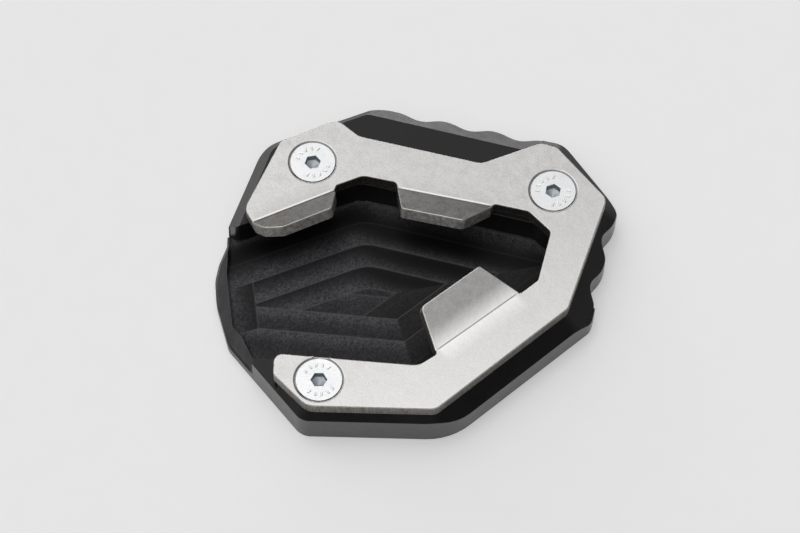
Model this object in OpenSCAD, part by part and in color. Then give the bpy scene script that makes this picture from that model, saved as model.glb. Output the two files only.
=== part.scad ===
// Foot enlarger for a motorcycle side stand.
// A milled base with a pocket for the stand's foot, a bent sheet plate that
// hooks over the foot, and three countersunk screws that pull them together.
// Plan coordinates are measured from a datum near the middle of the plate and
// shifted at the end, so that the origin is under the middle of the base.

/* [Base] */
// Thickness of the milled base
base_t = 9; // [8.5:0.5:14]
// Thickness of metal left under the pocket
floor_t = 1.5; // [1.2:0.1:2.4]
// Height of the low lip across the open left side
lip_h = 2.6; // [2.5:0.1:4]
// Depth of the flat relief beside the front left screw
relief_d = 1.4; // [0.4:0.1:2]
// Depth of the grip waves along the rear edge
wave_rear = 1.6; // [0.4:0.1:1.8]
// Depth of the grip waves along the right edge
wave_right = 1.75; // [0.4:0.1:2]

/* [Clamp plate] */
// Thickness of the sheet
plate_t = 3; // [2.8:0.1:4]
// Angle by which the three hooks are bent up
bend_angle = 16; // [8:1:24]
// Inside radius of the bends
bend_r = 0.8; // [0.4:0.2:2]

/* [Screws] */
// Thread diameter
screw_d = 5; // [4.5:0.5:5]
// Head diameter
head_d = 9.6; // [9:0.1:10]
// Diameter of the countersink at the plate's surface
sink_d = 10.4; // [10.2:0.1:11]
// Height of the cylindrical land on the head
head_land = 0.25; // [0.1:0.05:0.4]
// Overall length of a screw
screw_len = 8; // [7:0.5:8.5]
// Hexagon socket, across flats
socket_af = 3; // [2.5:0.1:3.2]
// Depth of the socket to the end of its flats
socket_depth = 1.7; // [1:0.1:2]

/* [Hidden] */
$fn = 64;
e = 0.01;

// plan offset from the datum to the middle of the finished part
mid = [3.47, 3.37];
top_z = base_t + plate_t;

// screw places and the turn of each socket
rear_left = [-19.15, 24.8];
rear_right = [32.1, 19.25];
front_left = [-16.05, -26.75];
socket_turn = [12, 22, 2];

// ---------- outline of the base ----------
// corners of the outline: x, y, corner radius
rim = [
    [-19.5, -34.15, 4], [11.4, -34.15, 14], [40.6, -8.2, 3.5], [46.2, 17.7, 2.5],
    [34.7, 34.2, 5.5], [-5.1, 41.2, 8], [-30.3, 30.5, 7], [-36.7, 11.35, 0],
    [-36.7, 10.1, 1.2], [-38.5, 4.6, 5], [-39.15, 0.6, 8], [-38.6, -4.9, 12], [-35.6, -14.9, 4]
];
// crest lines of the two wavy sides: from, to, number of waves, depth
rear_crests = [[-1.8, 40.6], [30.0, 34.8]];
right_crests = [[45.97, 17.0], [41.07, -4.6]];

// ---------- straight inner line of the top bevel ----------
bevel_line = [
    [-18.9, -32.65, 3], [7.9, -32.65, 3], [34.4, -9.2, 3], [42.7, 17.3, 3],
    [33.3, 29.0, 3], [-7.9, 38.72, 2.5], [-27.9, 29.9, 4], [-34.7, 9.0, 3],
    [-34.3, -14.4, 3]
];
// slope of the bevel by the direction it faces
function bevel_slope(a) = lookup(a, [[-180, 46], [-140, 50], [-90, 47], [-49, 43], [-17, 43], [5, 42], [35, 37],
    [60, 31], [77, 30], [100, 31], [118, 40], [162, 45], [180, 46]]);

// ---------- pocket ----------
pocket = [
    [-60, 11.35, 0], [-36.3, 11.35, 0], [-35.2, 10.6, 0.6], [-34.3, 10.35, 0.8],
    [-8.9, 21.55, 5], [28.4, 12.75, 3], [33.1, 8.6, 3], [30.2, -3.2, 3],
    [9.6, -21.3, 4], [-29.9, -20.1, 0], [-30.25, -21.35, 0], [-60, -21.35, 0]
];
// edge of the pocket floor along the low lip
lip_edge = [
    [-36.7, 40, 0], [-36.7, 2.2, 6], [-34.9, -10.3, 2], [-32.8, -12.6, 2], [-29.7, -19.0, 0],
    [-29.7, -60, 0], [60, -60, 0], [60, 40, 0]
];
// inner line of the lip's chamfer
lip_line = [
    [-36.0, 10.2, 1], [-38.0, 4.5, 4], [-38.65, 0.6, 7], [-38.1, -4.8, 11], [-35.1, -14.7, 3],
    [-29.3, -21.6, 0], [-20, -21.6, 0], [-20, 10.2, 0]
];
// flat relief at the front left end of the raised rim
relief = [[-60, -18, 0], [-24.2, -18, 0], [-24.2, -24.0, 1.5], [-29, -60, 0], [-60, -60, 0]];

// ---------- clamp plate ----------
plate_line = [
    [-33.2, 12.9, 3], [-26.2, 29.7, 1.5], [-14.4, 35.5, 3], [-9.4, 31.4, 3], [16.8, 25.5, 2.5],
    [29.5, 30.95, 3.5], [33.1, 29.8, 2], [43.5, 17.6, 2.5], [35.2, -8.85, 2.5], [8.15, -32.83, 3],
    [-18.4, -32.83, 4], [-25.5, -25.8, 1.5], [-25.5, -21.0, 1.8], [4.3, -22.95, 3.5], [7.95, -20.3, 0.6],
    [7.9, -19.65, 0], [25.0, -5.5, 0], [25.5, -5.4, 0.3], [28.9, -2.4, 1], [31.6, 9.3, 1.2],
    [26.9, 14.05, 1.2], [19.9, 15.55, 0.8], [19.2, 15.1, 0], [-0.9, 19.0, 0], [-1.3, 20.3, 0.8],
    [-8.3, 21.7, 3], [-13.9, 19.2, 0.8], [-14.3, 18.0, 0], [-31.3, 9.8, 0]
];
// hooks: start and end of the bend line, then the sheet's outline past it as
// [end of the line it is measured from, along, out, radius]
hook_left = [[-31.3, 9.8], [-14.3, 18.0]];
hook_left_form = [[0, 0.15, 1.1, 1.5], [0, 1.5, 3.1, 2.5], [0, 5.0, 4.85, 3.5], [1, -2.6, 4.85, 0.9], [1, -0.2, 1.2, 1]];
hook_mid = [[-0.9, 19.0], [19.2, 15.1]];
hook_mid_form = [[0, 2.0, 6.15, 1], [0, 15.3, 6.15, 1.5], [0, 18.0, 3.3, 4]];
hook_right = [[25.0, -5.5], [7.9, -19.65]];
hook_right_form = [[0, 3.4, 9.7, 0.9], [1, -3.1, 9.65, 1.5]];

// ---------- functions ----------
function unit(v) = v / norm(v);
function xy(p) = [p[0], p[1]];
function turn(a) = a > 180 ? a - 360 : a < -180 ? a + 360 : a;
// arc of radius r that rounds the corner at b between a and c
function corner(a, b, c, r, step) = r <= 0 ? [b] :
    let (u = unit(a - b), v = unit(c - b), h = acos(u * v) / 2,
         m = b + unit(u + v) * r / sin(h), p = b + u * r / tan(h), q = b + v * r / tan(h),
         s = atan2(p[1] - m[1], p[0] - m[0]), d = turn(atan2(q[1] - m[1], q[0] - m[0]) - s),
         n = max(1, ceil(abs(d) / step)))
    [for (i = [0:n]) m + r * [cos(s + d * i / n), sin(s + d * i / n)]];
function rounded(pts, step = 7) = [for (i = [0:len(pts) - 1])
    each corner(xy(pts[(i + len(pts) - 1) % len(pts)]), xy(pts[i]), xy(pts[(i + 1) % len(pts)]), pts[i][2], step)];

// region outside a wavy edge that touches the crest line a-b at each crest
module wave_cut(a, b, waves, depth, skew, steps = 14) {
    d = unit(b - a);
    out = [-d[1], d[0]];
    len_w = norm(b - a) / waves;
    polygon(concat([a + out * 3, a], [for (i = [1:waves * steps - 1])
        let (t = (i % steps) / steps, k = floor(i / steps))
        a + d * len_w * (k + t) - out * depth * (1 - cos(360 * pow(t, skew))) / 2],
        [b, b + out * 3]));
}

module base_outline() {
    difference() {
        polygon(rounded(rim));
        wave_cut(rear_crests[0], rear_crests[1], 3, wave_rear, 1.12);
        wave_cut(right_crests[0], right_crests[1], 2, wave_right, 1.45);
    }
}

// removes what lies above planes that fall away from the bevel's inner line
module bevel_cuts(line, z, slope = 0, step = 10) {
    pts = rounded(line, step);
    for (i = [0:len(pts) - 1]) {
        a = pts[i];
        b = pts[(i + 1) % len(pts)];
        if (norm(b - a) > 0.05) {
            face = turn(atan2(b[1] - a[1], b[0] - a[0]) - 90);
            m = (a + b) / 2;
            translate([m[0], m[1], z]) rotate([0, 0, face])
                rotate([0, slope == 0 ? bevel_slope(face) : slope, 0])
                    translate([-1, -60, 0]) cube([24, 120, 14]);
        }
    }
}

// ---------- parts ----------
module base_plate() {
    color([0.09, 0.09, 0.10]) translate([-mid[0], -mid[1], 0]) difference() {
        linear_extrude(base_t) base_outline();
        bevel_cuts(bevel_line, base_t);
        // pocket for the stand's foot, open to the left above the lip
        translate([0, 0, lip_h]) linear_extrude(base_t) polygon(rounded(pocket, 12));
        translate([0, 0, floor_t]) linear_extrude(base_t) intersection() {
            polygon(rounded(pocket, 12));
            polygon(rounded(lip_edge, 12));
        }
        // relief beside the front left screw
        translate([0, 0, base_t - relief_d]) linear_extrude(base_t) polygon(rounded(relief, 12));
        // tapped holes
        for (p = [rear_left, rear_right, front_left])
            translate([p[0], p[1], top_z - screw_len - 1.2]) cylinder(d = screw_d + 0.1, h = base_t);
        // chamfer along the outside of the low lip
        intersection() {
            bevel_cuts(lip_line, lip_h, 45, 14);
            translate([-60, -20.7, lip_h - 2]) cube([29.4, 31.6, 2 + e]);
        }
    }
}

// one bent hook: the sheet's section along the bend line, rooted in the flat
// part, with its outline cut square to the raised sheet
module hook(bend, form) {
    d = bend[1] - bend[0];
    span = norm(d);
    steps = 3;
    r_low = bend_r + plate_t;
    root = 0.6;
    inset = 0.04;
    // the raised sheet starts this far along it from the bend line
    start = r_low * bend_angle * PI / 360;
    reach = max([for (f = form) f[2]]) + 1 - start;
    low = [for (i = [0:steps]) let (t = bend_angle * i / steps) [r_low * sin(t), r_low * (1 - cos(t))]];
    upp = [for (i = [steps:-1:0]) let (t = bend_angle * i / steps) [bend_r * sin(t), plate_t + bend_r * (1 - cos(t))]];
    rise = [cos(bend_angle), sin(bend_angle)] * reach;
    flat = [for (f = form) [f[0] * span + f[1], f[2] - start, f[3]]];
    translate([bend[0][0], bend[0][1], 0]) rotate([0, 0, atan2(d[1], d[0])]) mirror([0, 1, 0]) difference() {
        translate([inset, 0, 0]) rotate([90, 0, 90]) linear_extrude(span - 2 * inset)
            polygon(concat([[-root, 0]], low, [low[steps] + rise, upp[0] + rise], upp, [[-root, plate_t]]));
        translate([0, low[steps][0], low[steps][1]]) rotate([bend_angle, 0, 0])
            translate([0, 0, -1]) linear_extrude(plate_t + 2) difference() {
                translate([-4, 0]) square([span + 8, reach + 3]);
                polygon(concat([[0, -1]], rounded(concat([[0, 0, 0]], flat, [[span, 0, 0]])), [[span, -1]]));
            }
    }
}

module countersink(p) {
    translate([p[0], p[1], 0]) {
        translate([0, 0, -e]) cylinder(d = screw_d + 0.5, h = plate_t + 2 * e);
        translate([0, 0, plate_t - (sink_d - screw_d - 0.5) / 2])
            cylinder(r1 = screw_d / 2 + 0.25, r2 = sink_d / 2 + 0.5, h = (sink_d - screw_d - 0.5) / 2 + 0.5);
    }
}

module clamp_plate() {
    color([0.80, 0.79, 0.77]) translate([-mid[0], -mid[1], base_t]) difference() {
        union() {
            linear_extrude(plate_t) polygon(rounded(plate_line));
            hook(hook_left, hook_left_form);
            hook(hook_mid, hook_mid_form);
            hook(hook_right, hook_right_form);
        }
        for (p = [rear_left, rear_right, front_left]) countersink(p);
    }
}

module screw(p, a) {
    drop = (sink_d - head_d) / 2 - head_land;
    cone = (head_d - screw_d) / 2;
    color([0.86, 0.88, 0.90]) translate([p[0] - mid[0], p[1] - mid[1], top_z - drop]) difference() {
        union() {
            translate([0, 0, -head_land - cone]) {
                cylinder(d1 = screw_d, d2 = head_d, h = cone);
                translate([0, 0, cone]) cylinder(d = head_d, h = head_land);
            }
            translate([0, 0, -screw_len + 0.6]) cylinder(d = screw_d, h = screw_len - head_land - cone - 0.6 + e);
            translate([0, 0, -screw_len]) cylinder(d1 = screw_d - 1.2, d2 = screw_d, h = 0.6);
        }
        translate([0, 0, -socket_depth]) rotate([0, 0, a]) cylinder(d = socket_af / cos(30), h = socket_depth + 1, $fn = 6);
        translate([0, 0, -socket_depth - 0.7]) cylinder(d1 = 0.2, d2 = socket_af - 0.2, h = 0.7 + e);
    }
}

module screw_rear_left() { screw(rear_left, socket_turn[0]); }
module screw_rear_right() { screw(rear_right, socket_turn[1]); }
module screw_front_left() { screw(front_left, socket_turn[2]); }

base_plate();
clamp_plate();
screw_rear_left();
screw_rear_right();
screw_front_left();
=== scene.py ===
import math

import bmesh
import bpy
import numpy as np
from mathutils import Matrix, Vector


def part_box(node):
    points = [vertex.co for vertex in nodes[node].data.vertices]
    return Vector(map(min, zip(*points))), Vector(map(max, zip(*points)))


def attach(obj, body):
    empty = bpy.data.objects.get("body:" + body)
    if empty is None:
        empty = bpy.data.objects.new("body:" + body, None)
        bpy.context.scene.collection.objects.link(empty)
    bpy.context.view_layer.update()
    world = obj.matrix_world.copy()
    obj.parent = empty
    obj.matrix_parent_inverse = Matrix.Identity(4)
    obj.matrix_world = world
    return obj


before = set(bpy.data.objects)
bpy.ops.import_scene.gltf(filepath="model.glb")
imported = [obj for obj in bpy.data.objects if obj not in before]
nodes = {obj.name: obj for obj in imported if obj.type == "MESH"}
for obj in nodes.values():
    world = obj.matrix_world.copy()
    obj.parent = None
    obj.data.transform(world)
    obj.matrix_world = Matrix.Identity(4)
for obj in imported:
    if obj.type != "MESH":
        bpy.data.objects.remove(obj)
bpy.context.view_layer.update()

MM = 0.001
# plan datum to part frame: subtract MID, and heights count from the ground face
MID = (3.47, 3.37)


# ---------------------------------------------------------------- helpers
def unit(v):
    v = np.asarray(v, float)
    return v / np.linalg.norm(v)


def rounded(pts, step=6.0):
    """Closed outline with each corner rounded by its own radius; points are (x, y, r)."""
    out = []
    n = len(pts)
    for i in range(n):
        a, b, c = (np.array(pts[(i + k) % n][:2], float) for k in (-1, 0, 1))
        r = pts[i][2]
        if r <= 0:
            out.append(b)
            continue
        u, v = unit(a - b), unit(c - b)
        h = math.acos(max(-1.0, min(1.0, float(u @ v)))) / 2
        m = b + unit(u + v) * r / math.sin(h)
        p, q = b + u * r / math.tan(h), b + v * r / math.tan(h)
        s = math.atan2(p[1] - m[1], p[0] - m[0])
        d = math.atan2(q[1] - m[1], q[0] - m[0]) - s
        d = (d + math.pi) % (2 * math.pi) - math.pi
        k = max(1, int(math.ceil(abs(d) / math.radians(step))))
        for j in range(k + 1):
            t = s + d * j / k
            out.append(m + r * np.array([math.cos(t), math.sin(t)]))
    return np.array(out)


def seg_dist(px, py, a, b):
    """Distance from points to the segment a-b."""
    a, b = np.asarray(a, float), np.asarray(b, float)
    d = b - a
    t = np.clip(((px - a[0]) * d[0] + (py - a[1]) * d[1]) / (d @ d), 0, 1)
    return np.hypot(px - a[0] - t * d[0], py - a[1] - t * d[1])


def poly_dist(px, py, pts, closed=True):
    n = len(pts)
    out = np.full(px.shape, 1e9)
    for i in range(n if closed else n - 1):
        out = np.minimum(out, seg_dist(px, py, pts[i], pts[(i + 1) % n]))
    return out


def row_span(poly, y):
    """x extent of a closed outline at height y."""
    xs = []
    n = len(poly)
    for i in range(n):
        a, b = poly[i], poly[(i + 1) % n]
        if (a[1] <= y < b[1]) or (b[1] <= y < a[1]):
            xs.append(a[0] + (b[0] - a[0]) * (y - a[1]) / (b[1] - a[1]))
    return (min(xs), max(xs)) if xs else None


def mesh_object(name, verts, faces, smooth=True):
    me = bpy.data.meshes.new(name)
    me.from_pydata([tuple(v) for v in verts], [], [tuple(f) for f in faces])
    me.validate()
    me.update()
    if smooth:
        me.polygons.foreach_set("use_smooth", [True] * len(me.polygons))
    ob = bpy.data.objects.new(name, me)
    bpy.context.scene.collection.objects.link(ob)
    return ob


# ---------------------------------------------------------------- materials
class Nodes:
    """A small builder for one material's node tree."""

    def __init__(self, name):
        self.mat = bpy.data.materials.new(name)
        self.mat.use_nodes = True
        self.t = self.mat.node_tree
        self.t.nodes.clear()
        self.out = self.t.nodes.new("ShaderNodeOutputMaterial")
        self.bsdf = self.t.nodes.new("ShaderNodeBsdfPrincipled")
        self.link(self.bsdf.outputs[0], self.out.inputs[0])
        self.geo = self.t.nodes.new("ShaderNodeTexCoord")
        self.obj = self.geo.outputs["Object"]

    def link(self, a, b):
        self.t.links.new(a, b)

    def put(self, sock, v):
        if isinstance(v, (int, float, tuple, list)):
            sock.default_value = v
        else:
            self.link(v, sock)

    def math(self, op, a, b=0.0, c=None, clamp=False):
        n = self.t.nodes.new("ShaderNodeMath")
        n.operation = op
        n.use_clamp = clamp
        self.put(n.inputs[0], a)
        self.put(n.inputs[1], b)
        if c is not None:
            self.put(n.inputs[2], c)
        return n.outputs[0]

    def vmath(self, op, a, b=(0, 0, 0), scale=None):
        n = self.t.nodes.new("ShaderNodeVectorMath")
        n.operation = op
        self.put(n.inputs[0], a)
        self.put(n.inputs[1], b)
        if scale is not None:
            self.put(n.inputs["Scale"], scale)
        return n.outputs["Value"] if op in ("DOT_PRODUCT", "LENGTH", "DISTANCE") else n.outputs[0]

    def mapping(self, v, scale=(1, 1, 1), rot=(0, 0, 0), loc=(0, 0, 0)):
        n = self.t.nodes.new("ShaderNodeMapping")
        self.put(n.inputs[0], v)
        n.inputs["Scale"].default_value = scale
        n.inputs["Rotation"].default_value = rot
        n.inputs["Location"].default_value = loc
        return n.outputs[0]

    def noise(self, v, scale, detail=4.0, rough=0.5, dist=0.0, fac=True):
        n = self.t.nodes.new("ShaderNodeTexNoise")
        self.put(n.inputs["Vector"], v)
        n.inputs["Scale"].default_value = scale
        n.inputs["Detail"].default_value = detail
        n.inputs["Roughness"].default_value = rough
        n.inputs["Distortion"].default_value = dist
        return n.outputs[0] if fac else n.outputs[1]

    def voronoi(self, v, scale, feature="F1", rand=1.0):
        n = self.t.nodes.new("ShaderNodeTexVoronoi")
        n.feature = feature
        self.put(n.inputs["Vector"], v)
        n.inputs["Scale"].default_value = scale
        n.inputs["Randomness"].default_value = rand
        return n.outputs["Distance"]

    def wave(self, v, scale, direction="X", dist=0.0, detail=2.0, dscale=1.0):
        n = self.t.nodes.new("ShaderNodeTexWave")
        n.bands_direction = direction
        self.put(n.inputs["Vector"], v)
        n.inputs["Scale"].default_value = scale
        n.inputs["Distortion"].default_value = dist
        n.inputs["Detail"].default_value = detail
        n.inputs["Detail Scale"].default_value = dscale
        return n.outputs["Fac"]

    def remap(self, v, a, b, c=0.0, d=1.0, smooth=False):
        n = self.t.nodes.new("ShaderNodeMapRange")
        n.clamp = True
        if smooth:
            n.interpolation_type = "SMOOTHSTEP"
        self.put(n.inputs[0], v)
        for k, x in zip((1, 2, 3, 4), (a, b, c, d)):
            self.put(n.inputs[k], x)
        return n.outputs[0]

    def mix(self, f, a, b):
        n = self.t.nodes.new("ShaderNodeMix")
        n.data_type = "RGBA"
        self.put(n.inputs["Factor"], f)
        self.put(n.inputs[6], a if not isinstance(a, tuple) else (*a, 1) if len(a) == 3 else a)
        self.put(n.inputs[7], b if not isinstance(b, tuple) else (*b, 1) if len(b) == 3 else b)
        return n.outputs[2]

    def bump(self, h, dist, strength=1.0, normal=None):
        n = self.t.nodes.new("ShaderNodeBump")
        n.inputs["Strength"].default_value = strength
        n.inputs["Distance"].default_value = dist
        self.put(n.inputs["Height"], h)
        if normal is not None:
            self.link(normal, n.inputs["Normal"])
        return n.outputs[0]

    def attr(self, name, kind="Fac"):
        n = self.t.nodes.new("ShaderNodeAttribute")
        n.attribute_name = name
        return n.outputs[kind]

    def sep(self, v):
        n = self.t.nodes.new("ShaderNodeSeparateXYZ")
        self.put(n.inputs[0], v)
        return n.outputs

    def set(self, **kw):
        for k, v in kw.items():
            s = self.bsdf.inputs[k.replace("_", " ")]
            self.put(s, v if not (isinstance(v, tuple) and len(v) == 3 and s.type == "RGBA") else (*v, 1))


def face_mask(n, axis=(0, 0, 1)):
    """How much the surface's true normal points along an axis."""
    g = n.t.nodes.new("ShaderNodeNewGeometry")
    return n.vmath("DOT_PRODUCT", g.outputs["True Normal"], axis)


def anodised(name):
    n = Nodes(name)
    p = n.obj
    up = n.math("ABSOLUTE", face_mask(n))
    # level passes of the cutter round the walls, fine straight ones over the flats
    walls = n.noise(n.mapping(p, scale=(0.03, 0.03, 2.6)), 1000, 3, 0.6)
    flats = n.noise(n.mapping(p, scale=(0.06, 1.0, 0.06), rot=(0, 0, 0.22)), 1700, 3, 0.55)
    grain = n.noise(p, 5200, 2, 0.6)
    cloud = n.noise(p, 95, 3, 0.55)
    spots = n.noise(p, 700, 4, 0.7)
    line = n.mix(n.remap(up, 0.3, 0.8), walls, flats)
    c = n.mix(n.remap(cloud, 0.35, 0.65), (0.0042, 0.0041, 0.0046), (0.0062, 0.0060, 0.0064))
    c = n.mix(n.remap(grain, 0.58, 0.8, 0, 0.35), c, (0.020, 0.020, 0.021))
    c = n.mix(n.math("MULTIPLY", n.remap(walls, 0.55, 0.75, 0, 0.35), n.remap(up, 0.3, 0.1)), c, (0.022, 0.021, 0.021))
    # painted highlight: the low lip's top is painted paler, in streaks
    q = n.sep(p)
    low = n.math("MULTIPLY", n.remap(q[2], 0.0030, 0.0027), n.remap(q[0], -0.0315, -0.0325))
    low = n.math("MULTIPLY", low, n.remap(up, 0.4, 0.6))
    c = n.mix(n.math("MULTIPLY", low, n.remap(n.noise(n.mapping(p, scale=(1.0, 0.25, 1.0)), 900, 4, 0.65), 0.3, 0.65, 0.35, 1.0)), c, (0.052, 0.051, 0.054))
    # the oxide wears thin and pale where the edges are handled; the pale edge lines also serve as a painted highlight
    # along the rims
    e = n.t.nodes.new("ShaderNodeBevel")
    e.samples = 4
    e.inputs[0].default_value = 0.00030
    g = n.t.nodes.new("ShaderNodeNewGeometry")
    edge = n.vmath("DOT_PRODUCT", e.outputs[0], g.outputs["Normal"])
    worn_edge_and_highlight = n.math("MULTIPLY", n.remap(edge, 0.995, 0.9, 0, 1), n.remap(spots, 0.42, 0.58, 0.15, 1.0))
    worn_edge_and_highlight = n.math("MULTIPLY", worn_edge_and_highlight, n.remap(q[2], 0.0032, 0.0026, 0.35, 0.9))
    c = n.mix(worn_edge_and_highlight, c, (0.15, 0.145, 0.14))
    rough = n.math("ADD", n.remap(cloud, 0.3, 0.7, 0.28, 0.34), n.remap(spots, 0.4, 0.7, -0.03, 0.05))
    b = n.bump(line, 0.000012, 0.5)
    b = n.bump(grain, 0.000010, 0.5, b)
    n.set(Base_Color=c, Roughness=rough, Metallic=0.0, Normal=b)
    # the oxide mirrors least where it faces up, and most on the walls the side cutter left
    n.bsdf.inputs["IOR"].default_value = 1.5
    n.set(Specular_IOR_Level=n.remap(up, 0.75, 0.2, n.remap(up, 0.97, 0.86, 0.38, 0.47), 0.98))
    return n.mat


def floor_passes(name):
    """Milled pocket floor: the cutter's arcs turn across each pass; the sheen they give is painted into the colour as a
    tone per pass, with streaks along the arcs and a painted highlight on the ridges.
    """
    n = Nodes(name)
    p = n.obj
    painted_sheen = n.attr("painted_sheen")
    ridge_and_highlight = n.attr("ridge_and_highlight")
    arc = n.attr("arc", "Vector")        # x: which arc, y: way along it, z: which pass (all mm)
    streak = n.noise(n.mapping(arc, scale=(5.0, 0.55, 1.0)), 1.0, 4, 0.65)
    fine = n.noise(n.mapping(arc, scale=(13.0, 2.2, 1.0)), 1.0, 3, 0.6)
    grain = n.noise(p, 3600, 4, 0.7)
    cloud = n.noise(p, 150, 4, 0.6)
    # painted reflection: the tone of each pass stands in for the sheen of its tool marks, streaked along the arcs
    tone = n.math("MULTIPLY", painted_sheen, n.remap(streak, 0.25, 0.75, 0.35, 1.55))
    tone = n.math("MULTIPLY", tone, n.remap(cloud, 0.3, 0.7, 0.75, 1.2), clamp=True)
    c = n.mix(tone, (0.0055, 0.0055, 0.0063), (0.125, 0.123, 0.133))
    c = n.mix(n.math("MULTIPLY", n.remap(fine, 0.55, 0.8, 0, 0.5), n.remap(painted_sheen, 0, 0.6, 0.3, 1)), c, (0.085, 0.083, 0.088))
    mottle = n.noise(p, 2300, 4, 0.7)
    c = n.mix(n.remap(mottle, 0.42, 0.64, 0, 0.75), c, (0.010, 0.010, 0.0115))
    c = n.mix(n.remap(grain, 0.55, 0.75, 0, 0.35), c, (0.006, 0.006, 0.0065))
    # painted highlight along the ridges between passes
    c = n.mix(n.math("MULTIPLY", ridge_and_highlight, 0.7), c, (0.13, 0.128, 0.13))
    b = n.bump(n.math("ADD", streak, n.math("MULTIPLY", fine, 0.6)), 0.000022, 0.6)
    b = n.bump(grain, 0.000014, 0.5, b)
    n.set(Base_Color=c, Roughness=n.remap(streak, 0.3, 0.7, 0.38, 0.52), Metallic=0.0, Normal=b)
    n.bsdf.inputs["IOR"].default_value = 1.42
    n.bsdf.inputs["Specular IOR Level"].default_value = 0.16
    return n.mat


FOLDS = [  # bend lines of the three hooks: from, to, place and tint of the crease line (a painted highlight on the left and middle hooks, a dark crease mark on the right one), painted highlight or painted shade beside it, painted shade over the hook with its amount at each end
    ((-31.3, 9.8), (-14.3, 18.0), -0.00020, (1.0, 0.99, 0.97), -0.30, (1.0, 0.75)),
    ((-0.9, 19.0), (19.2, 15.1), -0.00020, (1.0, 0.99, 0.97), -0.16, (0.45, 0.80)),
    ((25.0, -5.5), (7.9, -19.65), 0.00012, (0.16, 0.15, 0.14), 0.75, None),
]


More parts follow.
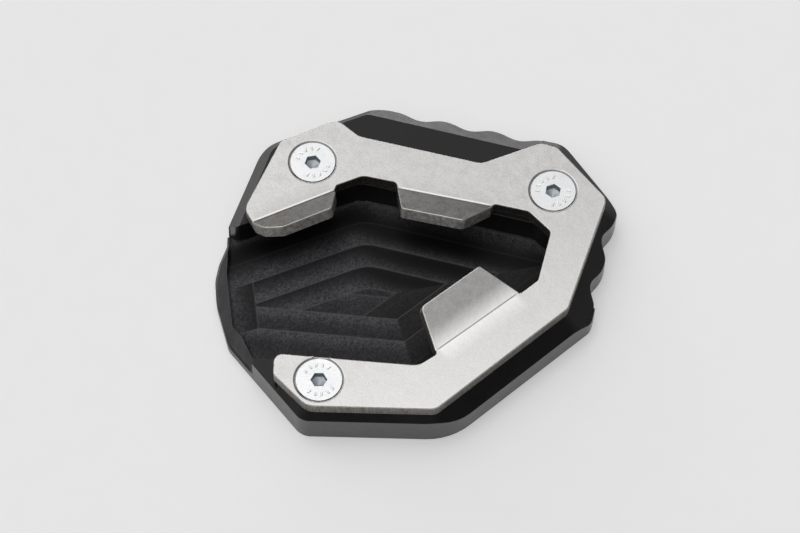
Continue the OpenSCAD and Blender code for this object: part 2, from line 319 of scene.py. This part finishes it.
def stainless(name):
    n = Nodes(name)
    p = n.obj
    upd = face_mask(n)
    up = n.remap(n.math("ABSOLUTE", upd), 0.45, 0.8)
    # tumbled face: small overlapping dents and cloudy tone
    dents = n.noise(p, 620, 5, 0.62)
    cells = n.voronoi(p, 900, "SMOOTH_F1")
    fine = n.noise(p, 3600, 3, 0.65)
    cloud = n.noise(p, 60, 3, 0.5)
    # cut edge: drag lines of the beam across the sheet's thickness
    q = n.mapping(p, scale=(1.0, 1.0, 0.10))
    drag = n.noise(q, 3300, 3, 0.6)
    drag2 = n.noise(n.mapping(p, scale=(1.0, 1.0, 0.35)), 900, 2, 0.5)
    tone = n.remap(dents, 0.3, 0.7)
    blot = n.noise(p, 260, 5, 0.7)
    top_c = n.mix(tone, (0.575, 0.568, 0.555), (0.77, 0.763, 0.75))
    top_c = n.mix(n.remap(cloud, 0.3, 0.7, 0, 0.35), top_c, (0.63, 0.622, 0.61))
    top_c = n.mix(n.remap(blot, 0.35, 0.7, 0.0, 0.5), top_c, (0.75, 0.742, 0.728))
    top_c = n.mix(n.remap(fine, 0.50, 0.72, 0, 0.75), top_c, (0.45, 0.442, 0.43))
    # painted reflection: the sheet is painted a little brighter towards its right and front
    bright = n.vmath("DOT_PRODUCT", p, (0.6, -0.8, 0.0))
    top_c = n.mix(n.remap(bright, 0.004, 0.032, 0.0, 0.55), top_c, (0.84, 0.83, 0.815))
    # the bends: a thin crease line, painted bright as a highlight on the left and middle hooks and dark as a crease
    # mark on the right one; beside it the sheet gets a painted highlight on the right hook and painted shade on the
    # other two
    for (ax, ay), (bx, by), at, tint, glow, hook_shade in FOLDS:
        ax, ay, bx, by = (ax - MID[0]) * MM, (ay - MID[1]) * MM, (bx - MID[0]) * MM, (by - MID[1]) * MM
        ln = math.hypot(bx - ax, by - ay)
        d = ((bx - ax) / ln, (by - ay) / ln, 0.0)
        o = (d[1], -d[0], 0.0)                       # towards the hook
        rel = n.vmath("SUBTRACT", p, (ax, ay, 0.0))
        wob = n.math("MULTIPLY", n.math("SUBTRACT", n.noise(p, 240, 2, 0.5), 0.5), 0.00012)
        off = n.math("ADD", n.math("SUBTRACT", n.vmath("DOT_PRODUCT", rel, o), at), wob)
        al = n.vmath("DOT_PRODUCT", rel, d)
        inside = n.math("MULTIPLY", n.remap(al, 0.0002, 0.0012), n.remap(al, ln - 0.0002, ln - 0.0012))
        far = n.math("ABSOLUTE", off)
        line = n.math("MULTIPLY", n.math("MULTIPLY", n.remap(far, 0.00022, 0.00006), inside), 0.75)
        near = n.math("MULTIPLY", n.math("MULTIPLY", n.remap(far, 0.0040, 0.0003), inside), abs(glow))
        # painted shade: the left and middle hooks are darkened for the duller light they face, by an amount that runs
        # from one end to the other
        if hook_shade:
            side = n.math("MULTIPLY", n.remap(off, 0.0, 0.0002), n.remap(off, 0.0080, 0.0070))
            side = n.math("MULTIPLY", n.math("MULTIPLY", side, n.remap(al, -0.0030, -0.0024)), n.remap(al, ln + 0.0030, ln + 0.0024))
            side = n.math("MULTIPLY", side, n.remap(al, 0.001, ln - 0.001, *hook_shade))
            top_c = n.mix(side, top_c, n.mix(n.remap(fine, 0.4, 0.6), (0.30, 0.285, 0.268), (0.44, 0.42, 0.395)))
        top_c = n.mix(near, top_c, (0.97, 0.96, 0.94) if glow > 0 else (0.40, 0.39, 0.375))
        if not hook_shade:
            # this hook runs out of its bend over a few millimetres
            o1 = n.math("MINIMUM", n.math("MAXIMUM", off, 0.0), 0.0042)
            run = n.math("MULTIPLY", n.math("SUBTRACT", n.math("MULTIPLY", n.math("MULTIPLY", o1, o1), 1 / 0.0084), o1), 0.19)
            run = n.math("MULTIPLY", run, n.remap(n.sep(p)[2], 0.01200, 0.01206))
        top_c = n.mix(line, top_c, tint)
    side_c = n.mix(n.remap(drag, 0.3, 0.7), (0.15, 0.138, 0.125), (0.34, 0.32, 0.295))
    # painted highlight: cut faces that lean up with a hook are painted paler, for the light from above that falls on
    # them
    lean = n.remap(n.math("ABSOLUTE", upd), 0.10, 0.22)
    side_c = n.mix(lean, side_c, n.mix(n.remap(n.noise(p, 1100, 4, 0.7), 0.35, 0.65), (0.30, 0.28, 0.255), (0.74, 0.71, 0.68)))
    c = n.mix(up, side_c, top_c)
    # edges rubbed bright by the tumbling, with a painted highlight along them
    e = n.t.nodes.new("ShaderNodeBevel")
    e.samples = 4
    e.inputs[0].default_value = 0.00045
    g = n.t.nodes.new("ShaderNodeNewGeometry")
    edge = n.remap(n.vmath("DOT_PRODUCT", e.outputs[0], g.outputs["Normal"]), 0.99, 0.95)
    edge = n.math("MULTIPLY", edge, n.remap(dents, 0.3, 0.6, 0.55, 1.0))
    # painted shade: cut faces and edges turned to the rear are painted dark, and lose the painted edge highlight
    back = n.math("MULTIPLY", n.remap(face_mask(n, (-0.25, 0.97, 0.0)), 0.06, 0.25), n.remap(upd, 0.98, 0.93))
    edge = n.math("MULTIPLY", edge, n.math("SUBTRACT", 1.0, back))
    c = n.mix(n.math("MULTIPLY", edge, 0.8), c, (0.95, 0.94, 0.92))
    c = n.mix(n.math("MULTIPLY", back, 0.8), c, (0.26, 0.25, 0.24))
    rough = n.math("ADD", n.remap(dents, 0.3, 0.7, 0.24, 0.31), n.math("MULTIPLY", n.math("SUBTRACT", 1.0, up), 0.20))
    hh = n.mix(up, n.math("ADD", drag, n.math("MULTIPLY", drag2, 0.8)), n.math("ADD", dents, n.math("MULTIPLY", cells, 0.35)))
    b = n.bump(run, 1.0, 1.0)
    b = n.bump(hh, 0.000030, 0.45, b)
    b = n.bump(fine, 0.000007, 0.4, b)
    n.set(Base_Color=c, Roughness=rough, Normal=b)
    n.set(Metallic=n.math("SUBTRACT", 1.0, n.math("MULTIPLY", n.math("MULTIPLY", lean, n.math("SUBTRACT", 1.0, up)), 0.75)))
    return n.mat


def zinc(name, centre):
    n = Nodes(name)
    p = n.mapping(n.obj, loc=(-centre[0], -centre[1], 0))
    s = n.sep(p)
    r = n.math("SQRT", n.math("ADD", n.math("MULTIPLY", s[0], s[0]), n.math("MULTIPLY", s[1], s[1])))
    rings = n.math("SINE", n.math("MULTIPLY", r, 2 * math.pi / 0.00022))
    fine = n.noise(n.obj, 2600, 4, 0.6)
    cloud = n.noise(n.obj, 240, 3, 0.5)
    c = n.mix(n.remap(cloud, 0.3, 0.7), (0.90, 0.91, 0.92), (0.97, 0.975, 0.98))
    c = n.mix(n.remap(fine, 0.55, 0.8, 0, 0.5), c, (0.66, 0.67, 0.68))
    rough = n.remap(fine, 0.3, 0.7, 0.28, 0.40)
    # the socket: duller, blued by the plating; its floor is painted bright as a painted reflection and its walls dark
    # as painted shade
    deep = n.math("MULTIPLY", n.remap(s[2], 0.01180, 0.01165), n.remap(r, 0.0021, 0.0019))
    socket_glint_and_shade = n.mix(n.remap(face_mask(n), 0.2, 0.6), (0.24, 0.28, 0.33), (0.90, 0.95, 1.0))
    c = n.mix(deep, c, n.mix(n.remap(fine, 0.3, 0.7, 0.25, 0.0), socket_glint_and_shade, (0.50, 0.55, 0.60)))
    rough = n.math("ADD", rough, n.math("MULTIPLY", deep, 0.10))
    n.set(Metallic=n.math("SUBTRACT", 1.0, n.math("MULTIPLY", deep, 0.45)))
    b = n.bump(rings, 0.0000035, 0.3)
    b = n.bump(fine, 0.000018, 0.5, b)
    n.set(Base_Color=c, Roughness=rough, Normal=b)
    return n.mat


# ---------------------------------------------------------------- CAD pieces
def tidy_group(gap):
    """Weld the frame mesh, drop its imported normals and keep only real edges sharp."""
    g = bpy.data.node_groups.new("tidy", "GeometryNodeTree")
    g.interface.new_socket("Geometry", in_out="INPUT", socket_type="NodeSocketGeometry")
    g.interface.new_socket("Geometry", in_out="OUTPUT", socket_type="NodeSocketGeometry")
    gi, go = g.nodes.new("NodeGroupInput"), g.nodes.new("NodeGroupOutput")
    drop = g.nodes.new("GeometryNodeRemoveAttribute")
    drop.inputs["Name"].default_value = "custom_normal"
    weld = g.nodes.new("GeometryNodeMergeByDistance")
    weld.inputs["Distance"].default_value = gap
    soft = g.nodes.new("GeometryNodeSetShadeSmooth")
    soft.domain = "FACE"
    soft.inputs["Shade Smooth"].default_value = True
    hard = g.nodes.new("GeometryNodeSetShadeSmooth")
    hard.domain = "EDGE"
    hard.inputs["Shade Smooth"].default_value = False
    ang = g.nodes.new("GeometryNodeInputMeshEdgeAngle")
    cmp = g.nodes.new("FunctionNodeCompare")
    cmp.data_type = "FLOAT"
    cmp.operation = "GREATER_THAN"
    cmp.inputs[1].default_value = math.radians(75)
    cmp2 = g.nodes.new("GeometryNodeSetShadeSmooth")
    cmp2.domain = "EDGE"
    cmp2.inputs["Shade Smooth"].default_value = True
    L = g.links.new
    L(gi.outputs[0], drop.inputs[0])
    L(drop.outputs[0], weld.inputs[0])
    L(weld.outputs[0], soft.inputs[0])
    L(soft.outputs[0], cmp2.inputs[0])
    L(cmp2.outputs[0], hard.inputs[0])
    L(ang.outputs["Unsigned Angle"], cmp.inputs[0])
    L(cmp.outputs[0], hard.inputs["Selection"])
    keep = g.nodes.new("GeometryNodeStoreNamedAttribute")
    keep.data_type = "FLOAT_VECTOR"
    keep.domain = "POINT"
    keep.inputs["Name"].default_value = "rest"
    place = g.nodes.new("GeometryNodeInputPosition")
    L(hard.outputs[0], keep.inputs[0])
    L(place.outputs[0], keep.inputs["Value"])
    L(keep.outputs[0], go.inputs[0])
    return g


def reach_group(limit, lo, hi):
    """Hold every point of a rounded edge near the corner it came from, and inside the node's box."""
    g = bpy.data.node_groups.new("reach", "GeometryNodeTree")
    g.interface.new_socket("Geometry", in_out="INPUT", socket_type="NodeSocketGeometry")
    g.interface.new_socket("Geometry", in_out="OUTPUT", socket_type="NodeSocketGeometry")
    gi, go = g.nodes.new("NodeGroupInput"), g.nodes.new("NodeGroupOutput")
    rest = g.nodes.new("GeometryNodeInputNamedAttribute")
    rest.data_type = "FLOAT_VECTOR"
    rest.inputs["Name"].default_value = "rest"
    place = g.nodes.new("GeometryNodeInputPosition")
    off = g.nodes.new("ShaderNodeVectorMath")
    off.operation = "SUBTRACT"
    ln = g.nodes.new("ShaderNodeVectorMath")
    ln.operation = "LENGTH"
    share = g.nodes.new("ShaderNodeMath")
    share.operation = "DIVIDE"
    share.inputs[0].default_value = limit
    some = g.nodes.new("ShaderNodeMath")
    some.operation = "MAXIMUM"
    some.inputs[1].default_value = limit
    back = g.nodes.new("ShaderNodeMath")
    back.operation = "SUBTRACT"
    back.inputs[1].default_value = 1.0
    move = g.nodes.new("ShaderNodeVectorMath")
    move.operation = "SCALE"
    put = g.nodes.new("GeometryNodeSetPosition")
    drop = g.nodes.new("GeometryNodeRemoveAttribute")
    drop.inputs["Name"].default_value = "rest"
    L = g.links.new
    L(place.outputs[0], off.inputs[0])
    L(rest.outputs["Attribute"], off.inputs[1])
    L(off.outputs[0], ln.inputs[0])
    L(ln.outputs["Value"], some.inputs[0])
    L(some.outputs[0], share.inputs[1])
    L(share.outputs[0], back.inputs[0])
    L(off.outputs[0], move.inputs[0])
    L(back.outputs[0], move.inputs["Scale"])
    L(gi.outputs[0], put.inputs[0])
    there = g.nodes.new("ShaderNodeVectorMath")
    there.operation = "ADD"
    low = g.nodes.new("ShaderNodeVectorMath")
    low.operation = "MAXIMUM"
    low.inputs[1].default_value = lo
    high = g.nodes.new("ShaderNodeVectorMath")
    high.operation = "MINIMUM"
    high.inputs[1].default_value = hi
    L(place.outputs[0], there.inputs[0])
    L(move.outputs[0], there.inputs[1])
    L(there.outputs[0], low.inputs[0])
    L(low.outputs[0], high.inputs[0])
    L(high.outputs[0], put.inputs["Position"])
    L(put.outputs[0], drop.inputs[0])
    L(drop.outputs[0], go.inputs[0])
    return g


def dress(node, mat, bevel, angle=24, seg=2, gap=0.00003):
    ob = nodes[node]
    ob.data.materials.clear()
    ob.data.materials.append(mat)
    m = ob.modifiers.new("tidy", "NODES")
    m.node_group = tidy_group(gap)
    m = ob.modifiers.new("flats", "DECIMATE")
    m.decimate_type = "DISSOLVE"
    m.angle_limit = math.radians(0.4)
    if bevel:
        m = ob.modifiers.new("edge", "BEVEL")
        m.width = bevel
        m.segments = seg
        m.limit_method = "ANGLE"
        m.angle_limit = math.radians(angle)
        m.use_clamp_overlap = False
        m.loop_slide = False
        m = ob.modifiers.new("reach", "NODES")
        lo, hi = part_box(node)
        m.node_group = reach_group(bevel * 1.9, tuple(map(float, lo)), tuple(map(float, hi)))
    m = ob.modifiers.new("normals", "WEIGHTED_NORMAL")
    m.weight = 100
    m.keep_sharp = False
    return ob


black = anodised("anodised_black")
steel = stainless("tumbled_stainless")
dress("base_plate", black, 0.00009, gap=0.00006)
dress("clamp_plate", steel, 0.00021, seg=3)

screws = {
    "screw_rear_left": ((-19.15 - MID[0], 24.80 - MID[1]), 12),
    "screw_rear_right": ((32.10 - MID[0], 19.25 - MID[1]), 22),
    "screw_front_left": ((-16.05 - MID[0], -26.75 - MID[1]), 2),
}
for name, ((cx, cy), a) in screws.items():
    dress(name, zinc("zinc_" + name, (cx * MM, cy * MM)), 0.00005)


def head_ticks(name, cx, cy, turn):
    """Two short rows of raised ticks pressed into a screw's head."""
    top = 11.85
    verts, faces = [], []
    for row in (90, 270):
        for i in range(5):
            a = math.radians(turn + row + (i - 2) * 23)
            er, et = np.array([math.cos(a), math.sin(a)]), np.array([-math.sin(a), math.cos(a)])
            lean = 0.25 if i % 2 else -0.2
            for half, z in ((0.24, top - 0.03), (0.18, top + 0.09), (0.11, top + 0.12)):
                ends = 0.46 - (0.24 - half) * 0.7
                for sr, st in ((-1, -1), (1, -1), (1, 1), (-1, 1)):
                    q = er * (3.35 + sr * ends) + et * (st * half + sr * lean * ends)
                    verts.append(((cx + q[0]) * MM, (cy + q[1]) * MM, z * MM))
            b = len(verts) - 12
            faces.append((b + 3, b + 2, b + 1, b))
            for lv in (0, 4):
                for j in range(4):
                    faces.append((b + lv + j, b + lv + (j + 1) % 4, b + lv + 4 + (j + 1) % 4, b + lv + 4 + j))
            faces.append((b + 8, b + 9, b + 10, b + 11))
    ob = mesh_object(name, verts, faces, False)
    return ob


for name, ((cx, cy), a) in screws.items():
    tk = head_ticks("head_ticks_" + name[6:], cx, cy, a * 1.7 + 8)
    tk.data.materials.append(nodes[name].data.materials[0])
    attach(tk, "root")

# ---------------------------------------------------------------- milled pocket floor
FLOOR_Z = 1.5
POCKET = [
    (-60, 11.35, 0), (-36.3, 11.35, 0), (-35.2, 10.6, 0.6), (-34.3, 10.35, 0.8), (-8.9, 21.55, 5),
    (28.4, 12.75, 3), (33.1, 8.6, 3), (30.2, -3.2, 3), (9.6, -21.3, 4), (-29.9, -20.1, 0),
    (-30.25, -21.35, 0), (-60, -21.35, 0),
]
LIP = [(-36.7, 40, 0), (-36.7, 2.2, 6), (-34.9, -10.3, 2), (-32.8, -12.6, 2), (-29.7, -19.0, 0), (-29.7, -60, 0)]


def build_floor():
    pocket = rounded(POCKET, 8)
    lip = rounded([(*p[:2], p[2]) for p in LIP] + [(60, -60, 0), (60, 40, 0)], 8)
    ny, nx = 230, 300
    ys = np.linspace(-21.6, 21.2, ny)
    rows_x0, rows_x1 = [], []
    for y in ys:
        yy = min(max(y, -20.95), 20.35)
        a = row_span(pocket, yy)
        b = row_span(lip, yy)
        lo, hi = max(a[0], b[0]), min(a[1], b[1])
        over = 0.35
        rows_x0.append(lo - over)
        rows_x1.append(hi + over)
    x0, x1 = np.array(rows_x0), np.array(rows_x1)
    t = np.linspace(0, 1, nx)
    X = x0[:, None] + (x1 - x0)[:, None] * t[None, :]
    Y = np.repeat(ys[:, None], nx, 1)
    # distance from the walls (inside positive) and from the open lip
    dw = poly_dist(X, Y, pocket)
    dl = poly_dist(X, Y, lip)
    near = np.minimum(dw, dl)
    # --- cutter passes: rear, right and front feeds follow the walls, 5.1 mm apart
    lines = [  # a, b: the wall line each set of passes follows
        ((-31.0, 11.65), (-11.1, 20.3)), ((-7.0, 21.05), (28.4, 12.75)),
        ((31.5, 0.7), (9.6, -18.2)), ((10.0, -22.8), (-29.9, -19.9)),
    ]
    D = []
    for (a, b) in lines:
        a, b = np.array(a), np.array(b)
        d = unit(b - a)
        # the lines run clockwise, so the inside is to their right
        D.append((X - a[0]) * d[1] - (Y - a[1]) * d[0])
    feed = np.array([unit(np.array(b) - np.array(a)) for a, b in lines])
    # the two rear feeds run into each other round a soft bend
    rear = -0.6 * np.logaddexp(-D[0] / 0.6, -D[1] / 0.6)
    w1 = 1 / (1 + np.exp(np.clip((D[1] - D[0]) / 1.2, -30, 30)))
    side, front = D[2], D[3]
    R1, R2, R3 = 9.8, 14.86, 19.92          # rings of ridges, measured from the walls
    is_front = (front < R2) & (front <= side) & (front <= rear)
    is_side = ~is_front & (side < rear) & (side < R3)
    is_rear = ~is_front & ~is_side & (rear < R3)
    is_core = ~is_front & ~is_side & ~is_rear
    dist = np.where(is_front | is_core, front, np.where(is_side, side, rear))
    which = np.where(is_front | is_core, 3, np.where(is_side, 2, 0))
    fx = np.where(which == 0, (1 - w1) * feed[0][0] + w1 * feed[1][0], feed[which][..., 0])
    fy = np.where(which == 0, (1 - w1) * feed[0][1] + w1 * feed[1][1], feed[which][..., 1])
    fl = np.hypot(fx, fy)
    fx, fy = fx / fl, fy / fl
    k = np.floor((dist - R1) / (R2 - R1))
    frac = (dist - R1) / (R2 - R1) - k         # 0 at the outer ridge, 1 at the next one inward
    outer = dist < R1
    s = np.where(outer, np.clip(dist / R1, 0, 1), frac)
    # lateral place in the cutter's circle
    lat = np.where(outer, 1 - 2 * s, -s)
    # one pass straight down the open left side
    yr = np.clip((1.2 - Y) / 11.1, 0, 1)
    strip_x = -31.2 + 1.7 * yr
    lip_x = np.where(Y > 0, -36.7, -36.7 + 1.9 * np.clip(-Y / 10.3, 0, 1))
    in_strip = (X < strip_x) & (rear > R1) & (Y > -10.15 + 0.38 * (X + 29.5))
    st = np.clip((X - lip_x) / (strip_x - lip_x), 0, 1)
    lat = np.where(in_strip, -(1 - st) * 0.98, lat)
    lx = np.where(in_strip, 0.05, fx)
    ly = np.where(in_strip, 1.0, fy)
    # direction of the arcs
    c = np.sqrt(np.clip(1 - lat ** 2, 0, 1))
    gx = -lat * lx + c * ly
    # painted reflection: a pass is lit where its arcs run along x, as the tool marks' sheen; the open-side strip is
    # painted lighter towards the lip, the side passes darker and the front passes lighter for how the light falls on
    # them
    painted_sheen = np.clip(np.abs(gx), 0, 1) ** 2.4
    painted_sheen = np.where(in_strip, 0.15 + 0.75 * (1 - st) ** 1.2, painted_sheen)
    painted_sheen = np.where((which == 2) & ~in_strip, 0.10 + 0.20 * painted_sheen, painted_sheen)
    painted_sheen = np.where((which == 3) & ~in_strip, 0.42 + 1.35 * painted_sheen, painted_sheen)
    painted_sheen = np.where(is_core, 0.35 + 0.3 * painted_sheen, painted_sheen)

    def bump_at(v, off, w=0.14):
        return np.exp(-((v - off) / w) ** 2)

    # the ridges between passes: raised a little, and carried into the floor's colour as a painted highlight
    ridge_and_highlight = np.zeros_like(X)
    for off, g in ((4.7, 0.22), (R1, 0.9), (R2, 0.9), (R3, 0.75)):
        ok_r = (rear <= side + 0.15) & ((front > R2 - 0.1) | (rear < front))
        ridge_and_highlight = np.maximum(ridge_and_highlight, g * bump_at(rear, off) * ok_r * ~in_strip)
        ok_s = (side <= rear + 0.15) & ((front > R2 - 0.1) | (side < front))
        ridge_and_highlight = np.maximum(ridge_and_highlight, g * bump_at(side, off) * ok_s)
    for off in (R1, R2):
        ridge_and_highlight = np.maximum(ridge_and_highlight, bump_at(front, off) * ((front <= side + 0.15) & (front <= rear + 0.15)) * ~in_strip)
    ridge_and_highlight = np.maximum(ridge_and_highlight, 0.8 * bump_at(front, R3) * ((rear > R3 - 0.1) & (side > R3 - 0.1)))
    ridge_and_highlight = np.maximum(ridge_and_highlight, 0.75 * bump_at(X, strip_x) * (rear > R1 - 0.1) * (Y > -10.15))
    ridge_and_highlight = np.maximum(ridge_and_highlight, 0.7 * bump_at(Y, -10.15 + 0.38 * (X + 29.5)) * (X < strip_x + 0.2) * (X > lip_x + 0.6))
    # shallow hollow of each pass, its ridges, and the fillet the cutter leaves at the walls
    z = FLOOR_Z + 0.03 + 0.05 * (2 * s - 1) ** 2 + 0.045 * ridge_and_highlight
    rf = 0.7
    d = np.clip(near, 0, rf)
    fil = rf - np.sqrt(np.clip(rf * rf - (rf - d) ** 2, 0, None))
    z = z + np.where(near < rf, fil, 0)
    R = 5.0
    s_feed = X * lx + Y * ly
    arc = np.stack([s_feed - R * c, R * np.arcsin(np.clip(lat, -1, 1)),
                    7.3 * which + 3.1 * np.where(outer, -1, k) + 19.0 * in_strip], -1)
    verts = np.stack([(X - MID[0]) * MM, (Y - MID[1]) * MM, z * MM], -1).reshape(-1, 3)
    nv = len(verts)
    low = verts.copy()
    low[:, 2] = (FLOOR_Z - 0.15) * MM
    idx = np.arange(nv).reshape(ny, nx)
    faces = []
    for j in range(ny - 1):
        for i in range(nx - 1):
            faces.append((idx[j, i], idx[j, i + 1], idx[j + 1, i + 1], idx[j + 1, i]))
    rim = [idx[0, i] for i in range(nx)] + [idx[j, nx - 1] for j in range(1, ny)]
    rim += [idx[ny - 1, i] for i in range(nx - 2, -1, -1)] + [idx[j, 0] for j in range(ny - 2, 0, -1)]
    base = len(verts)
    low_rim = [base + i for i in range(len(rim))]
    allv = np.vstack([verts, low[rim]])
    m = len(rim)
    for i in range(m):
        faces.append((rim[i], low_rim[i], low_rim[(i + 1) % m], rim[(i + 1) % m]))
    faces.append(tuple(reversed(low_rim)))
    ob = mesh_object("pocket_floor_passes", allv, faces)
    at = ob.data.attributes.new("arc", "FLOAT_VECTOR", "POINT")
    vals = np.zeros((len(allv), 3), np.float32)
    vals[:nv] = arc.reshape(-1, 3)
    at.data.foreach_set("vector", vals.reshape(-1))
    for nm, arr in (("painted_sheen", painted_sheen), ("ridge_and_highlight", ridge_and_highlight)):
        at = ob.data.attributes.new(nm, "FLOAT", "POINT")
        vals = np.zeros(len(allv), np.float32)
        vals[:nv] = arr.reshape(-1)
        at.data.foreach_set("value", vals)
    ob.data.materials.append(floor_passes("milled_floor"))
    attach(ob, "root")
    return ob


build_floor()

# ---------------------------------------------------------------- stage
# the floor stands 0.02 mm above the ground face, so that the two don't share a plane
fz = 0.00002
fl = mesh_object("stage_floor", [(-1.2, -0.9, fz), (0.45, -0.9, fz), (0.45, 1.2, fz), (-1.2, 1.2, fz)], [(0, 1, 2, 3)], False)
fn = Nodes("stage_paper")
pv = fn.noise(fn.obj, 180, 3, 0.5)
fn.set(Base_Color=fn.mix(fn.remap(pv, 0.3, 0.7), (0.79, 0.79, 0.79), (0.805, 0.805, 0.802)), Roughness=0.8)
fn.set(Emission_Color=(1.0, 1.0, 1.0), Emission_Strength=0.345)
fn.bsdf.inputs["Specular IOR Level"].default_value = 0.1
fl.data.materials.append(fn.mat)

# ---------------------------------------------------------------- light: one soft studio sky, brighter above and behind
world = bpy.data.worlds.new("studio")
bpy.context.scene.world = world
world.use_nodes = True
wt = world.node_tree
wt.nodes.clear()
wo = wt.nodes.new("ShaderNodeOutputWorld")
bg = wt.nodes.new("ShaderNodeBackground")
wt.links.new(bg.outputs[0], wo.inputs[0])
tc = wt.nodes.new("ShaderNodeTexCoord")


def wmath(op, a, b=0.0):
    n = wt.nodes.new("ShaderNodeMath")
    n.operation = op
    for s, v in zip(n.inputs, (a, b)):
        if isinstance(v, (int, float)):
            s.default_value = v
        else:
            wt.links.new(v, s)
    return n.outputs[0]


def lobe(direction, power, gain):
    n = wt.nodes.new("ShaderNodeVectorMath")
    n.operation = "DOT_PRODUCT"
    wt.links.new(tc.outputs["Generated"], n.inputs[0])
    d = unit(direction)
    n.inputs[1].default_value = tuple(float(x) for x in d)
    return wmath("MULTIPLY", wmath("POWER", wmath("MAXIMUM", n.outputs["Value"], 0.0), power), gain)


total = 0.04
for d, pw, g in (((-0.28, 0.25, 0.93), 8, 1.62), ((0, 0.2, 1), 1.5, 0.08), ((0, -0.5, 0.86), 8, 0.5), ((0, 1, 0.15), 6, 0.06), ((-1, -0.4, 0.3), 4, 0.22),
                 ((1, 0.2, 0.15), 6, 0.12)):
    total = wmath("ADD", lobe(d, pw, g), total)
sx = wt.nodes.new("ShaderNodeSeparateXYZ")
wt.links.new(tc.outputs["Generated"], sx.inputs[0])
level = wmath("POWER", wmath("SUBTRACT", 1.0, wmath("MULTIPLY", sx.outputs[2], sx.outputs[2])), 24.0)
rear = wt.nodes.new("ShaderNodeMapRange")
rear.interpolation_type = "SMOOTHSTEP"
wt.links.new(sx.outputs[1], rear.inputs[0])
rear.inputs[1].default_value, rear.inputs[2].default_value = 0.2, 0.75
edge = wt.nodes.new("ShaderNodeMapRange")
edge.interpolation_type = "SMOOTHSTEP"
wt.links.new(sx.outputs[0], edge.inputs[0])
edge.inputs[1].default_value, edge.inputs[2].default_value = 0.38, 0.12
band = wmath("MULTIPLY", wmath("MULTIPLY", level, rear.outputs[0]), edge.outputs[0])
total = wmath("ADD", wmath("MULTIPLY", band, 5.6), total)
wt.links.new(total, bg.inputs["Strength"])
bg.inputs["Color"].default_value = (1, 1, 1, 1)

# ---------------------------------------------------------------- camera at the photograph's angle
E, ROLL, DIST, F_PX = math.radians(61.80), math.radians(1.468), 658.7, 3146.4
fwd = np.array([0, math.cos(E), -math.sin(E)])
right = np.array([1.0, 0, 0])
up = np.cross(right, fwd)
r = math.cos(ROLL) * right + math.sin(ROLL) * up
u = -math.sin(ROLL) * right + math.cos(ROLL) * up
pos = -fwd * DIST - np.array([MID[0], MID[1], -12.0])
cam_data = bpy.data.cameras.new("camera")
cam_data.sensor_width = 36
cam_data.lens = F_PX / 800 * 36
cam_data.clip_start = 0.01
cam_data.clip_end = 30
cam = bpy.data.objects.new("camera", cam_data)
bpy.context.scene.collection.objects.link(cam)
M = Matrix.Identity(4)
for i in range(3):
    M[i][0], M[i][1], M[i][2], M[i][3] = float(r[i]), float(u[i]), float(-fwd[i]), float(pos[i] * MM)
cam.matrix_world = M
bpy.context.scene.camera = cam

vs = bpy.context.scene.view_settings
vs.view_transform = "Standard"
vs.look = "None"
vs.exposure = 0.0
vs.gamma = 1.0
